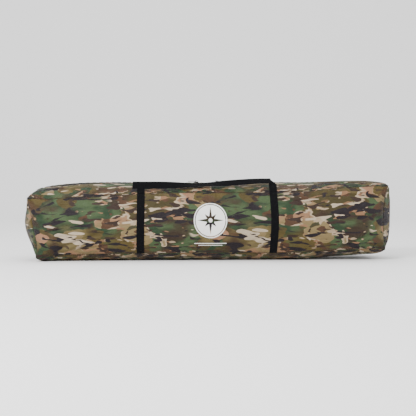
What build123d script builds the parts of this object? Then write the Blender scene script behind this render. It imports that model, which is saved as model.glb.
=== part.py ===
"""Zip-top camouflage carry bag for long gear, in the shape it has when full.

Frame: +X along the bag's length, -Y is the printed front, +Z up. The origin is the
middle of the base, on the surface that the bag stands on. Millimetres.
"""

from math import asin, atan2, cos, degrees, radians, sin
import os

from build123d import *

os.makedirs("parts", exist_ok=True)

# ---------------------------------------------------------------- driving dimensions
LENGTH = 1220.0  # overall, over the bulged ends
SEAM_X = 575.0  # end seams, each side of the middle
HEIGHT = 258.0  # floor to the crest of the top panel
HALF_DEPTH = 130.0  # middle plane to the crown of the front or back panel
SEAM_Y = 92.5  # the four long seams, each side of the middle plane
SEAM_Z_LOW = 28.0  # lower long seams
SEAM_Z_HIGH = 224.0  # upper long seams
BASE_HALF = 64.0  # half the width of the base that lies flat on the floor
FABRIC = 1.5  # coated polyester wall

ZIP_HALF = 545.0  # half the length of the zipped mouth
MOUTH_HALF = 12.0  # half the gap between the two top flaps, bridged by the zipper
HINGE_GAP = 2.5  # clear strip beside each upper long seam, where the flap folds
CUT_GAP = 0.5  # between a flap's end and the fixed yoke
TAPE_OUT = 20.0  # how far the zipper tape reaches under the flap, from the middle plane
TAPE_T = 1.0
COIL_HALF = 2.8  # half width of the closed coil
COIL_RISE = 0.2  # how far the coil stands above the flap
COIL_NOTCH = 44.0  # the coils part inside the two sliders, each side of the middle

BIND_W = 10.0  # seam allowance bound with tape, inside the bag
BIND_T = 1.2
END_BIND_W = 12.0

WEB = 25.0  # webbing width (1 inch)
WEB_T = 1.6
STRAP_X = 221.5  # centre of each strap, each side of the middle
HANDLE_TILT = 55.0  # slope of the front handle's free loop as it stands, leaning over the top
BACK_TILT = 38.0  # the back handle's loop leans further over
HANDLE_RISE = 50.0  # length of the free loop from its fold to the grip's top edge
HANDLE_OUT = 2.8  # the loop's fold line stands this far outside the upper seam

PRINT_T = 0.4
PRINT_R = 54.0
PRINT_Z = 137.0
PRINT_X = 6.0

SLIDER_X = 34.0  # each slider's centre at rest, each side of the middle
SLIDER_L = 16.0
SLIDER_W = 13.0
SLIDER_T = 1.4
PULL_PIVOT_RISE = 2.1  # pull's pivot above the slider's top wing
PULL_L = 28.0
PULL_W = 8.0
PULL_T = 1.4

# ---------------------------------------------------------------- derived circles
MID_Z = (SEAM_Z_LOW + SEAM_Z_HIGH) / 2
side_sag = HALF_DEPTH - SEAM_Y
side_half = (SEAM_Z_HIGH - SEAM_Z_LOW) / 2
SIDE_R = (side_half**2 + side_sag**2) / (2 * side_sag)
SIDE_C = HALF_DEPTH - SIDE_R  # y of the back panel's centre; the front's is minus this
top_sag = HEIGHT - SEAM_Z_HIGH
TOP_R = (SEAM_Y**2 + top_sag**2) / (2 * top_sag)
TOP_C = HEIGHT - TOP_R
TOP_SEAM_ANGLE = degrees(atan2(SEAM_Z_HIGH - TOP_C, -SEAM_Y))  # front upper seam
SIDE_SEAM_ANGLE = degrees(asin(side_half / SIDE_R))  # half the front panel's arc
END_R = (142.0**2 + 33.0**2) / (2 * 33.0)  # ball whose cap is the bulged end


def top_point(radius, angle):
    """A point on a circle round the top panel's centre line, as (y, z)."""
    return (radius * cos(radians(angle)), TOP_C + radius * sin(radians(angle)))


def front_point(radius, angle):
    """A point on a circle round the front panel's centre line; angle 0 is the crown and positive is up."""
    return (-SIDE_C - radius * cos(radians(angle)), MID_Z + radius * sin(radians(angle)))


def top_angle(y, radius=TOP_R):
    return degrees(atan2((radius**2 - y**2) ** 0.5, y))


def arc_band(point, r_in, r_out, a0, a1):
    """The outline of a strip between two radii and two angles, as (outer arc, line, inner arc, line) points."""
    mid = (a0 + a1) / 2
    return [
        (point(r_out, a0), point(r_out, mid), point(r_out, a1)),
        (point(r_in, a1), point(r_in, mid), point(r_in, a0)),
    ]


def draw_band(point, r_in, r_out, a0, a1):
    """Draws that outline in the BuildLine that calls it."""
    outer, inner = arc_band(point, r_in, r_out, a0, a1)
    ThreePointArc(*outer)
    Line(outer[2], inner[0])
    ThreePointArc(*inner)
    Line(inner[2], outer[0])


def save(part, name):
    part.label = name
    export_step(part, f"parts/{name}.step")


# ---------------------------------------------------------------- section of the bag
with BuildSketch(Plane.YZ) as section:
    with BuildLine():
        Line((-BASE_HALF, 0), (BASE_HALF, 0))
        Line((BASE_HALF, 0), (SEAM_Y, SEAM_Z_LOW))
        ThreePointArc((SEAM_Y, SEAM_Z_LOW), (HALF_DEPTH, MID_Z), (SEAM_Y, SEAM_Z_HIGH))
        ThreePointArc((SEAM_Y, SEAM_Z_HIGH), (0, HEIGHT), (-SEAM_Y, SEAM_Z_HIGH))
        ThreePointArc((-SEAM_Y, SEAM_Z_HIGH), (-HALF_DEPTH, MID_Z), (-SEAM_Y, SEAM_Z_LOW))
        Line((-SEAM_Y, SEAM_Z_LOW), (-BASE_HALF, 0))
    make_face()

with BuildSketch(Plane.YZ) as inner_section:
    add(section.sketch_local)
    offset(amount=-FABRIC, kind=Kind.INTERSECTION)

with BuildSketch(Plane.YZ) as wall:
    add(section.sketch_local)
    add(inner_section.sketch_local, mode=Mode.SUBTRACT)

with BuildSketch(Plane.YZ) as binding_ring:
    add(inner_section.sketch_local)
    offset(inner_section.sketch_local, amount=-BIND_T, kind=Kind.INTERSECTION, mode=Mode.SUBTRACT)

# ---------------------------------------------------------------- sewn panels
with BuildPart() as front_panel:
    with BuildSketch(Plane.YZ):
        add(wall.sketch_local)
        with BuildLine():
            Polyline(
                (0, MID_Z),
                (-2 * SEAM_Y, MID_Z + 2 * side_half),
                (-2 * SEAM_Y, MID_Z - 2 * side_half),
                close=True,
            )
        make_face(mode=Mode.INTERSECT)
    extrude(amount=SEAM_X, both=True)
save(front_panel.part, "front_panel")

with BuildPart() as back_panel:
    add(front_panel.part)
    mirror(about=Plane.XZ, mode=Mode.REPLACE)
save(back_panel.part, "back_panel")

with BuildPart() as bottom_panel:
    with BuildSketch(Plane.YZ):
        add(wall.sketch_local)
        with BuildLine():
            Polyline(
                (0, MID_Z),
                (-2 * SEAM_Y, MID_Z - 2 * side_half),
                (2 * SEAM_Y, MID_Z - 2 * side_half),
                close=True,
            )
        make_face(mode=Mode.INTERSECT)
    extrude(amount=SEAM_X, both=True)
save(bottom_panel.part, "bottom_panel")

# the fixed yoke beyond each end of the zipped mouth
with BuildPart() as right_top_yoke:
    with BuildSketch(Plane.YZ.offset(ZIP_HALF + CUT_GAP)):
        add(wall.sketch_local)
        with BuildLine():
            Polyline(
                (0, MID_Z),
                (2 * SEAM_Y, MID_Z + 2 * side_half),
                (-2 * SEAM_Y, MID_Z + 2 * side_half),
                close=True,
            )
        make_face(mode=Mode.INTERSECT)
    extrude(amount=SEAM_X - ZIP_HALF - CUT_GAP)
save(right_top_yoke.part, "right_top_yoke")

with BuildPart() as left_top_yoke:
    add(right_top_yoke.part)
    mirror(about=Plane.YZ, mode=Mode.REPLACE)
save(left_top_yoke.part, "left_top_yoke")

# bulged ends: a dish whose rim meets the four panels
with BuildPart() as end_inside:
    with BuildSketch(Plane.YZ.offset(SEAM_X)):
        add(inner_section.sketch_local)
    extrude(amount=45)
    with Locations((LENGTH / 2 - END_R, 0, MID_Z)):
        Sphere(END_R - FABRIC, mode=Mode.INTERSECT)

with BuildPart() as right_end_panel:
    with BuildSketch(Plane.YZ.offset(SEAM_X)):
        add(section.sketch_local)
    extrude(amount=45)
    with Locations((LENGTH / 2 - END_R, 0, MID_Z)):
        Sphere(END_R, mode=Mode.INTERSECT)
    add(end_inside.part, mode=Mode.SUBTRACT)
save(right_end_panel.part, "right_end_panel")

with BuildPart() as left_end_panel:
    add(right_end_panel.part)
    mirror(about=Plane.YZ, mode=Mode.REPLACE)
save(left_end_panel.part, "left_end_panel")

# ---------------------------------------------------------------- bound seam allowances, inside
IN_SIDE = SIDE_R - FABRIC
bind_arc = degrees(BIND_W / IN_SIDE)
bind_edge = SIDE_SEAM_ANGLE - degrees(5.0 / IN_SIDE)  # below the fold of the open flap

with BuildPart() as binding_front_upper:
    with BuildSketch(Plane.YZ):
        with BuildLine():
            draw_band(front_point, IN_SIDE - BIND_T, IN_SIDE, bind_edge - bind_arc, bind_edge)
        make_face()
    extrude(amount=SEAM_X - END_BIND_W - 1.5, both=True)
save(binding_front_upper.part, "binding_front_upper")

with BuildPart() as binding_front_lower:
    with BuildSketch(Plane.YZ):
        with BuildLine():
            draw_band(front_point, IN_SIDE - BIND_T, IN_SIDE, -bind_edge, bind_arc - bind_edge)
        make_face()
    extrude(amount=SEAM_X - END_BIND_W - 1.5, both=True)
save(binding_front_lower.part, "binding_front_lower")

with BuildPart() as binding_back_upper:
    add(binding_front_upper.part)
    mirror(about=Plane.XZ, mode=Mode.REPLACE)
save(binding_back_upper.part, "binding_back_upper")

with BuildPart() as binding_back_lower:
    add(binding_front_lower.part)
    mirror(about=Plane.XZ, mode=Mode.REPLACE)
save(binding_back_lower.part, "binding_back_lower")

with BuildPart() as binding_right_end:
    with BuildSketch(Plane.YZ.offset(SEAM_X - END_BIND_W - 0.5)):
        add(binding_ring.sketch_local)
    extrude(amount=END_BIND_W)
save(binding_right_end.part, "binding_right_end")

with BuildPart() as binding_left_end:
    add(binding_right_end.part)
    mirror(about=Plane.YZ, mode=Mode.REPLACE)
save(binding_left_end.part, "binding_left_end")

# ---------------------------------------------------------------- top flaps and zipper
hinge_edge = TOP_SEAM_ANGLE - degrees(HINGE_GAP / TOP_R)
mouth_edge = top_angle(-MOUTH_HALF)

with BuildPart() as top_front_flap:
    with BuildSketch(Plane.YZ):
        with BuildLine():
            draw_band(top_point, TOP_R - FABRIC, TOP_R, mouth_edge, hinge_edge)
        make_face()
    extrude(amount=ZIP_HALF, both=True)
save(top_front_flap.part, "top_front_flap")

with BuildPart() as top_back_flap:
    add(top_front_flap.part)
    mirror(about=Plane.XZ, mode=Mode.REPLACE)
save(top_back_flap.part, "top_back_flap")

TAPE_R = TOP_R - FABRIC
with BuildPart() as zipper_tape_front:
    with BuildSketch(Plane.YZ):
        with BuildLine():
            draw_band(top_point, TAPE_R - TAPE_T, TAPE_R, top_angle(-COIL_HALF), top_angle(-TAPE_OUT))
        make_face()
    extrude(amount=ZIP_HALF - 1, both=True)
save(zipper_tape_front.part, "zipper_tape_front")

with BuildPart() as zipper_tape_back:
    add(zipper_tape_front.part)
    mirror(about=Plane.XZ, mode=Mode.REPLACE)
save(zipper_tape_back.part, "zipper_tape_back")

with BuildPart() as zipper_coil_front:
    with BuildSketch(Plane.YZ.offset(COIL_NOTCH)):
        with BuildLine():
            draw_band(
                top_point, TAPE_R - TAPE_T, TOP_R + COIL_RISE, top_angle(-0.15), top_angle(-COIL_HALF + 0.02)
            )
        make_face()
    extrude(amount=ZIP_HALF - 1 - COIL_NOTCH)
    mirror(about=Plane.YZ)
save(zipper_coil_front.part, "zipper_coil_front")

with BuildPart() as zipper_coil_back:
    add(zipper_coil_front.part)
    mirror(about=Plane.XZ, mode=Mode.REPLACE)
save(zipper_coil_back.part, "zipper_coil_back")

# black fabric tab sewn over each end of the zipper
with BuildPart() as right_zipper_tab:
    with BuildSketch(Plane.YZ.offset(ZIP_HALF + CUT_GAP + 0.5)):
        with BuildLine():
            draw_band(top_point, TOP_R, TOP_R + 1.2, top_angle(14), top_angle(-14))
        make_face()
    extrude(amount=24)
save(right_zipper_tab.part, "right_zipper_tab")

with BuildPart() as left_zipper_tab:
    add(right_zipper_tab.part)
    mirror(about=Plane.YZ, mode=Mode.REPLACE)
save(left_zipper_tab.part, "left_zipper_tab")

# ---------------------------------------------------------------- zipper sliders and pulls
wing_top = HEIGHT + COIL_RISE + 0.6  # underside of the top wing
wing_low = HEIGHT - FABRIC - TAPE_T - 0.6  # upper face of the bottom wing
pivot_z = wing_top + SLIDER_T + PULL_PIVOT_RISE
PIN_R = 0.9

with BuildPart() as zipper_slider_right:
    # top wing with turned-down edges
    with BuildSketch(Plane.XY.offset(wing_top)):
        with Locations((SLIDER_X, 0)):
            Rectangle(SLIDER_L, SLIDER_W)
        fillet(vertices(), 3.2)
    extrude(amount=SLIDER_T)
    # bottom wing
    with BuildSketch(Plane.XY.offset(wing_low)):
        with Locations((SLIDER_X, 0)):
            Rectangle(SLIDER_L, SLIDER_W)
        fillet(vertices(), 3.2)
    extrude(amount=-SLIDER_T)
    # turned-down and turned-up edges either side of the tape
    with BuildSketch(Plane.XY.offset(wing_top)):
        with Locations((SLIDER_X, SLIDER_W / 2 - 0.6), (SLIDER_X, -SLIDER_W / 2 + 0.6)):
            Rectangle(SLIDER_L - 7, 1.2)
    extrude(amount=-0.9)
    with BuildSketch(Plane.XY.offset(wing_low)):
        with Locations((SLIDER_X, SLIDER_W / 2 - 0.6), (SLIDER_X, -SLIDER_W / 2 + 0.6)):
            Rectangle(SLIDER_L - 7, 1.2)
    extrude(amount=0.3)
    # wedge-shaped neck that joins the wings on the mouth side
    with BuildSketch(Plane.XY.offset(wing_low - 0.2)):
        with BuildLine():
            Polyline(
                (SLIDER_X - 7.6, -1.7),
                (SLIDER_X - 7.6, 1.7),
                (SLIDER_X - 3.4, 0.5),
                (SLIDER_X - 3.4, -0.5),
                close=True,
            )
        make_face()
    extrude(amount=wing_top - wing_low + 0.4)
    # bridge that the pull's bar runs through
    with BuildSketch(Plane.XZ.offset(-1.1)):
        with Locations((SLIDER_X, pivot_z - 0.15)):
            Rectangle(9.0, 2 * PULL_PIVOT_RISE + 0.3)
        fillet(vertices().group_by(Axis.Y)[-1], 1.6)
        with Locations((SLIDER_X, pivot_z - 0.35)):
            Rectangle(6.4, 2.6, mode=Mode.SUBTRACT)
    extrude(amount=2.2)
save(zipper_slider_right.part, "zipper_slider_right")

with BuildPart() as zipper_slider_left:
    add(zipper_slider_right.part)
    mirror(about=Plane.YZ, mode=Mode.REPLACE)
save(zipper_slider_left.part, "zipper_slider_left")

with BuildPart() as zipper_pull_right:
    # round bar under the bridge
    with BuildSketch(Plane.XZ.offset(-2.9)):
        with Locations((SLIDER_X, pivot_z)):
            Circle(PIN_R)
    extrude(amount=5.8)
    # two arms and the tab
    with BuildSketch(Plane.XY.offset(pivot_z - PULL_T / 2)):
        with Locations((SLIDER_X + 3.2, 2.15), (SLIDER_X + 3.2, -2.15)):
            Rectangle(6.8, 1.5)
        with Locations((SLIDER_X + 5.9 + (PULL_L - 5.9) / 2, 0)):
            RectangleRounded(PULL_L - 5.9, PULL_W, 1.9)
        with Locations((SLIDER_X + PULL_L - 4.6, 0)):
            Circle(1.8, mode=Mode.SUBTRACT)
    extrude(amount=PULL_T)
save(zipper_pull_right.part, "zipper_pull_right")

with BuildPart() as zipper_pull_left:
    add(zipper_pull_right.part)
    mirror(about=Plane.YZ, mode=Mode.REPLACE)
save(zipper_pull_left.part, "zipper_pull_left")

# ---------------------------------------------------------------- sewn webbing straps
strap_edge = SIDE_SEAM_ANGLE - degrees(0.6 / SIDE_R)

with BuildPart() as front_strap_left:
    with BuildSketch(Plane.YZ.offset(-STRAP_X - WEB / 2)):
        with BuildLine():
            draw_band(front_point, SIDE_R, SIDE_R + WEB_T, -strap_edge, strap_edge)
        make_face()
    extrude(amount=WEB)
save(front_strap_left.part, "front_strap_left")

with BuildPart() as front_strap_right:
    add(front_strap_left.part)
    mirror(about=Plane.YZ, mode=Mode.REPLACE)
save(front_strap_right.part, "front_strap_right")

with BuildPart() as back_strap_left:
    add(front_strap_left.part)
    mirror(about=Plane.XZ, mode=Mode.REPLACE)
save(back_strap_left.part, "back_strap_left")

with BuildPart() as back_strap_right:
    add(front_strap_right.part)
    mirror(about=Plane.XZ, mode=Mode.REPLACE)
save(back_strap_right.part, "back_strap_right")

# bar tacks across both ends of each strap
tack = degrees(4.0 / SIDE_R)
with BuildPart() as front_bar_tacks:
    with BuildSketch(Plane.YZ.offset(STRAP_X - WEB / 2 + 1)):
        with BuildLine():
            draw_band(
                front_point, SIDE_R + WEB_T, SIDE_R + WEB_T + 0.8, strap_edge - 2.5 * tack, strap_edge - 1.5 * tack
            )
        make_face()
        with BuildLine():
            draw_band(
                front_point, SIDE_R + WEB_T, SIDE_R + WEB_T + 0.8, tack - strap_edge, 2 * tack - strap_edge
            )
        make_face()
    extrude(amount=WEB - 2)
    mirror(about=Plane.YZ)
save(front_bar_tacks.part, "front_bar_tacks")

with BuildPart() as back_bar_tacks:
    add(front_bar_tacks.part)
    mirror(about=Plane.XZ, mode=Mode.REPLACE)
save(back_bar_tacks.part, "back_bar_tacks")

# ---------------------------------------------------------------- carrying handles
CORNER_OUT = (TOP_SEAM_ANGLE + 180 - SIDE_SEAM_ANGLE) / 2  # outward direction at the upper seam
FOLD_Y = -SEAM_Y + HANDLE_OUT * cos(radians(CORNER_OUT))
FOLD_Z = SEAM_Z_HIGH + HANDLE_OUT * sin(radians(CORNER_OUT))
loop_dir = (cos(radians(HANDLE_TILT)), sin(radians(HANDLE_TILT)))
back_dir = (-cos(radians(BACK_TILT)), sin(radians(BACK_TILT)))

with BuildSketch() as loop:
    with Locations((0, HANDLE_RISE / 2)):
        RectangleRounded(2 * STRAP_X + WEB, HANDLE_RISE, 1.2)
    with Locations((0, (HANDLE_RISE - WEB) / 2 - 1)):
        Rectangle(2 * STRAP_X - WEB, HANDLE_RISE - WEB + 2, mode=Mode.SUBTRACT)

with BuildPart() as front_handle:
    with BuildSketch(
        Plane(origin=(0, FOLD_Y, FOLD_Z), x_dir=(1, 0, 0), z_dir=(0, -loop_dir[1], loop_dir[0]))
    ):
        add(loop.sketch_local)
    extrude(amount=WEB_T / 2, both=True)
save(front_handle.part, "front_handle")

with BuildPart() as back_handle:
    with BuildSketch(
        Plane(origin=(0, -FOLD_Y, FOLD_Z), x_dir=(1, 0, 0), z_dir=(0, -back_dir[1], back_dir[0]))
    ):
        add(loop.sketch_local)
    extrude(amount=WEB_T / 2, both=True)
save(back_handle.part, "back_handle")

# ---------------------------------------------------------------- front print
with BuildPart() as front_print:
    with BuildSketch(Plane.YZ.offset(PRINT_X - PRINT_R)):
        with BuildLine():
            draw_band(front_point, SIDE_R, SIDE_R + PRINT_T, -33, 33)
        make_face()
    extrude(amount=2 * PRINT_R)
    with BuildSketch(Plane.XZ.offset(HALF_DEPTH + 20)):
        with Locations((PRINT_X, PRINT_Z)):
            Circle(PRINT_R)
        with Locations((PRINT_X, PRINT_Z - PRINT_R - 9.5)):
            Rectangle(2 * PRINT_R - 4, 4)
        with Locations((PRINT_X, PRINT_Z - PRINT_R - 16.0)):
            Rectangle(2 * PRINT_R - 30, 3)
    extrude(amount=-60, mode=Mode.INTERSECT)
save(front_print.part, "front_print")

tip = (FOLD_Y + HANDLE_RISE * loop_dir[0], FOLD_Z + HANDLE_RISE * loop_dir[1])
print("side circle", round(SIDE_R, 2), "centre y", round(-SIDE_C, 2), "top circle", round(TOP_R, 2), "centre z", round(TOP_C, 2))
print("seam angles", round(TOP_SEAM_ANGLE, 2), round(SIDE_SEAM_ANGLE, 2), "handle fold", round(FOLD_Y, 2), round(FOLD_Z, 2))
print("handle tip", [round(v, 1) for v in tip], "pull pivot z", round(pivot_z, 2))
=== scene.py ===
"""Looks of a long, stuffed, zip-top carry bag: cloth shell, webbing, zipper and printed badge.

The shell is simulated as cloth: six flat panels sewn into a box are filled until they bulge.
Every other soft piece is then laid on that cloth, by its place on the cut panel.
"""

import math

import bpy
import numpy as np
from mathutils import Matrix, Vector


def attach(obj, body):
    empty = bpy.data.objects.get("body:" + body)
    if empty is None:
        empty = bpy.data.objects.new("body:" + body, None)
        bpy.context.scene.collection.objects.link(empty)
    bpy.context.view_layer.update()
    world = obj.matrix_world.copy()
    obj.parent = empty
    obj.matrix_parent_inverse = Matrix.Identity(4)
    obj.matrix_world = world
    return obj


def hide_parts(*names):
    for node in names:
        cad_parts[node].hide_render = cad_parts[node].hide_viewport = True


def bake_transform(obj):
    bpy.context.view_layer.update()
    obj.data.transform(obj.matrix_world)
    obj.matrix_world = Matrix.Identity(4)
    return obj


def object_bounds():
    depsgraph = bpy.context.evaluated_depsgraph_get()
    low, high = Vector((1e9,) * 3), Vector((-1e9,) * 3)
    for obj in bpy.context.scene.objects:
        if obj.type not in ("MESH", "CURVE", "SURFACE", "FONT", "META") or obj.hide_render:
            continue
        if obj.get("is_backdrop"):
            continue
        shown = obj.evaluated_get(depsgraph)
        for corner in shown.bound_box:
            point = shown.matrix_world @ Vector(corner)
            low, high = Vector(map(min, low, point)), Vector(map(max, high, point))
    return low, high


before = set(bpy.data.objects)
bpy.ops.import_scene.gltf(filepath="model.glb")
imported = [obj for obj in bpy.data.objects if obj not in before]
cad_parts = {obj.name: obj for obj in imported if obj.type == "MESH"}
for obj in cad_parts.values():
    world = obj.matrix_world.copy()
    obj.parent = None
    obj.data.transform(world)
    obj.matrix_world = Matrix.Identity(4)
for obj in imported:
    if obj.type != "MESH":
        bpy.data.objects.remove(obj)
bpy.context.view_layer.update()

# ------------------------------------------------------------------ camera
cam_data = bpy.data.cameras.new("camera")
cam_data.lens = 85
cam_data.sensor_width = 36
camera = bpy.data.objects.new("camera", cam_data)
bpy.context.scene.collection.objects.link(camera)
bpy.context.scene.camera = camera
CAM_AZ, CAM_EL, CAM_DIST = math.radians(-2.6), math.radians(2.6), 3.29
target = Vector((0.004, -0.04, 0.1735))
camera.location = target + CAM_DIST * Vector(
    (math.sin(CAM_AZ) * math.cos(CAM_EL), -math.cos(CAM_AZ) * math.cos(CAM_EL), math.sin(CAM_EL))
)
camera.rotation_euler = (target - camera.location).to_track_quat("-Z", "Y").to_euler()

# ------------------------------------------------------------------ cut sizes, metres
LX, LY, LZ = 1.190, 0.198, 0.206  # the box's flat panels, seam to seam
ZIP_HALF = 0.545
MOUTH = 0.012  # half the strip between the flaps
STRAP_L, STRAP_R = -0.2190, 0.2175
WEB = 0.025
HINGE = np.array([-0.0925, 0.224])  # y, z of the front flap's hinge


def smooth(x, a, b):
    t = np.clip((np.asarray(x, float) - a) / (b - a), 0, 1)
    return t * t * (3 - 2 * t)


# ------------------------------------------------------------------ cloth simulation
def box_panels(nx, ny, nz):
    index, points = {}, []

    def vertex(i, j, k):
        key = (i, j, k)
        if key not in index:
            index[key] = len(points)
            points.append((LX * (i / nx - 0.5), LY * (j / ny - 0.5), LZ * k / nz))
        return index[key]

    I, J, K = range(nx + 1), range(ny + 1), range(nz + 1)
    panels = {
        "front": [[vertex(i, 0, k) for k in K] for i in I],
        "back": [[vertex(i, ny, k) for k in K] for i in I],
        "bottom": [[vertex(i, j, 0) for j in J] for i in I],
        "top": [[vertex(i, j, nz) for j in J] for i in I],
        "left": [[vertex(0, j, k) for k in K] for j in J],
        "right": [[vertex(nx, j, k) for k in K] for j in J],
    }
    return np.array(points), {n: np.array(g) for n, g in panels.items()}


def simulate():
    """Fills the sewn box with soft gear: pressure that grows downwards, cloth that hardly stretches, seams that draw up a little."""
    nx, ny, nz = ((156, 26, 27))
    steps, iters = ((130, 16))
    rng = np.random.default_rng(7)
    x, panels = box_panels(nx, ny, nz)
    size = {
        "front": (LX / nx, LZ / nz), "back": (LX / nx, LZ / nz), "bottom": (LX / nx, LY / ny),
        "top": (LX / nx, LY / ny), "left": (LY / ny, LZ / nz), "right": (LY / ny, LZ / nz),
    }
    seen, pair, rest, stiff = set(), [], [], []

    def link(a, b, length, k):
        a, b = a.ravel().tolist(), b.ravel().tolist()
        length = np.broadcast_to(length, len(a)).tolist()
        for p, q, r in zip(a, b, length):
            key = (p, q) if p < q else (q, p)
            if key not in seen:
                seen.add(key)
                pair.append(key)
                rest.append(r)
                stiff.append(k)

    # seams first: thread draws the cloth up unevenly
    for n, g in panels.items():
        du, dv = size[n]
        for edge in (g[:, 0], g[:, -1]):
            link(edge[:-1], edge[1:], du * (0.982 + 0.012 * rng.random(len(edge) - 1)), 1.0)
        for edge in (g[0, :], g[-1, :]):
            link(edge[:-1], edge[1:], dv * (0.985 + 0.010 * rng.random(len(edge) - 1)), 1.0)
    # the sewn webbing holds the front and back a little shorter
    for n in ("front", "back"):
        g = panels[n]
        du, dv = size[n]
        for xc in (STRAP_L, STRAP_R):
            for off in (-0.009, 0.0, 0.009):
                col = g[int(round((xc + off + LX / 2) / LX * nx)), :]
                link(col[:-1], col[1:], dv * 0.982, 1.0)
    for n, g in panels.items():
        du, dv = size[n]
        link(g[:-1, :], g[1:, :], du, 1.0)
        link(g[:, :-1], g[:, 1:], dv, 1.0)
        link(g[:-1, :-1], g[1:, 1:], math.hypot(du, dv), 0.30)
        link(g[1:, :-1], g[:-1, 1:], math.hypot(du, dv), 0.30)
        link(g[:-2, :], g[2:, :], 2 * du, 0.015)
        link(g[:, :-2], g[:, 2:], 2 * dv, 0.015)
    pair, rest, stiff = np.array(pair), np.array(rest), np.array(stiff)

    used, colour = np.zeros(len(x), object), []
    used[:] = 0
    for a, b in pair.tolist():
        free = ~(used[a] | used[b])
        bit = free & -free
        used[a] |= bit
        used[b] |= bit
        colour.append(bit.bit_length() - 1)
    colour = np.array(colour)
    sets = []
    for c in range(colour.max() + 1):
        s = np.where(colour == c)[0]
        if len(s):
            sets.append((pair[s, 0], pair[s, 1], rest[s], 0.5 * stiff[s]))

    quads = np.concatenate(
        [np.stack([g[:-1, :-1], g[1:, :-1], g[1:, 1:], g[:-1, 1:]], -1).reshape(-1, 4) for g in panels.values()]
    )
    q = x[quads]
    out = (np.cross(q[:, 2] - q[:, 0], q[:, 3] - q[:, 1]) * (q.mean(1) - x.mean(0))).sum(1) < 0
    quads[out] = quads[out][:, ::-1]
    ends = np.abs(x[quads][:, :, 0]).min(1) > LX / 2 - 1e-6
    mid = x[quads].mean(1)
    # gear packs unevenly: a slow unevenness along the bag, and slacker ends
    uneven = 1 + 0.10 * np.sin(mid[:, 0] * 17 + 0.6) * np.cos(mid[:, 0] * 7.3 + 2) + 0.06 * np.sin(mid[:, 0] * 41 + mid[:, 2] * 20)
    share = np.where(ends, 0.3, 1.0) * uneven
    share *= 1 - 0.30 * smooth(-mid[:, 0], 0.44, 0.60) * (mid[:, 2] > 0.1)
    flat = quads.ravel(order="F")
    count = len(x)
    x = x + rng.normal(0, 0.0004, x.shape)
    x[:, 2] += 0.002
    v = np.zeros_like(x)
    dt = 0.01
    for s in range(steps):
        q = x[quads]
        normal = 0.5 * np.cross(q[:, 2] - q[:, 0], q[:, 3] - q[:, 1])
        p = np.clip(1.2 - q[:, :, 2].mean(1), 0.05, None) * 108.0 * share * (156 / nx) ** 0
        push = np.tile(normal * (p / 4)[:, None], (4, 1))
        force = np.stack([np.bincount(flat, push[:, c], count) for c in range(3)], 1)
        a = force * (416.0 * (nx / 110.0) ** 2)
        a[:, 2] -= 0.1
        v = (v + dt * a) * (0.96 if s < steps * 0.6 else 0.88)
        speed = np.sqrt((v * v).sum(1, keepdims=True))
        v *= np.minimum(1, 1.2 / np.maximum(speed, 1e-9))
        new = x + dt * v
        for _ in range(iters):
            for ia, ib, length, k in sets:
                d = new[ib] - new[ia]
                l = np.sqrt(np.einsum("ij,ij->i", d, d))
                d *= (k * (l - length) / l)[:, None]
                new[ia] += d
                new[ib] -= d
            np.maximum(new[:, 2], 0, out=new[:, 2])
        v = (new - x) / dt
        x = new
    return x, panels


def settle(p):
    """The shape that the bag was nudged into as it was set down: a slack left shoulder, a full right end, and a lean of the top towards the front on the left."""
    x, y, z = p[..., 0].copy(), p[..., 1].copy(), p[..., 2].copy()
    z = np.interp(z, *HEIGHTS)
    high = smooth(z, 0.03, 0.20)
    left, right = smooth(-x, 0.40, 0.60), smooth(x, 0.22, 0.56)
    # the end seams draw in at mid height, and the foot of the left end is tucked under
    tall = np.sin(math.pi * np.clip(z / 0.235, 0, 1))
    x = x + smooth(-x, 0.46, 0.59) * (0.017 * tall + 0.031 * (1 - smooth(z, 0.0, 0.14)))
    x = x - smooth(x, 0.48, 0.59) * (0.011 * tall + 0.008 * (1 - smooth(z, 0.0, 0.10)))
    lean = math.radians(6.0) * smooth(-x, 0.16, 0.34) * high
    cz = 0.125
    y, z = y * np.cos(lean) - (z - cz) * np.sin(lean), cz + y * np.sin(lean) + (z - cz) * np.cos(lean)
    z = z - 0.009 * left * high + 0.002 * high * smooth(-x, 0.20, 0.30) * (1 - smooth(-x, 0.42, 0.54)) - 0.003 * high * smooth(-x, 0.50, 0.60)
    z = z + 0.012 * smooth(-x, 0.55, 0.61) * (1 - smooth(z, 0.0, 0.09))
    z = z + 0.009 * smooth(-x, 0.50, 0.60) * smooth(z, 0.10, 0.20) * smooth(-y, -0.02, 0.07)
    x = x + 0.006 * smooth(-x, 0.52, 0.60) * smooth(z, 0.12, 0.20)
    x = x + 0.008 * smooth(x, 0.50, 0.60) * (1 - smooth(np.abs(y), 0.05, 0.09))
    crown = smooth(z, 0.222, 0.262)
    groove = np.exp(-((y / 0.026) ** 2))
    z = z + right * high * (0.019 - 0.010 * crown) * (1 - 0.92 * groove)
    z = z + (0.008 * smooth(x, 0.30, 0.44) + 0.008 * smooth(x, 0.42, 0.56)) * (1 - smooth(z, 0.0, 0.17))
    return np.stack([x, y, z], -1)


cloth, PANELS = simulate()
cloth[:, 2] -= cloth[:, 2].min()
cloth[:, 1] -= 0.5 * (cloth[:, 1].max() + cloth[:, 1].min())
crest = cloth[PANELS["top"]][len(PANELS["top"]) // 2, :, 2].max()
cloth[:, 2] *= 0.2578 / crest
cloth[:, 1] *= 0.1345 / cloth[:, 1].max()
cloth[:, 0] *= 0.6160 / np.abs(cloth[:, 0]).max()
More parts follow.
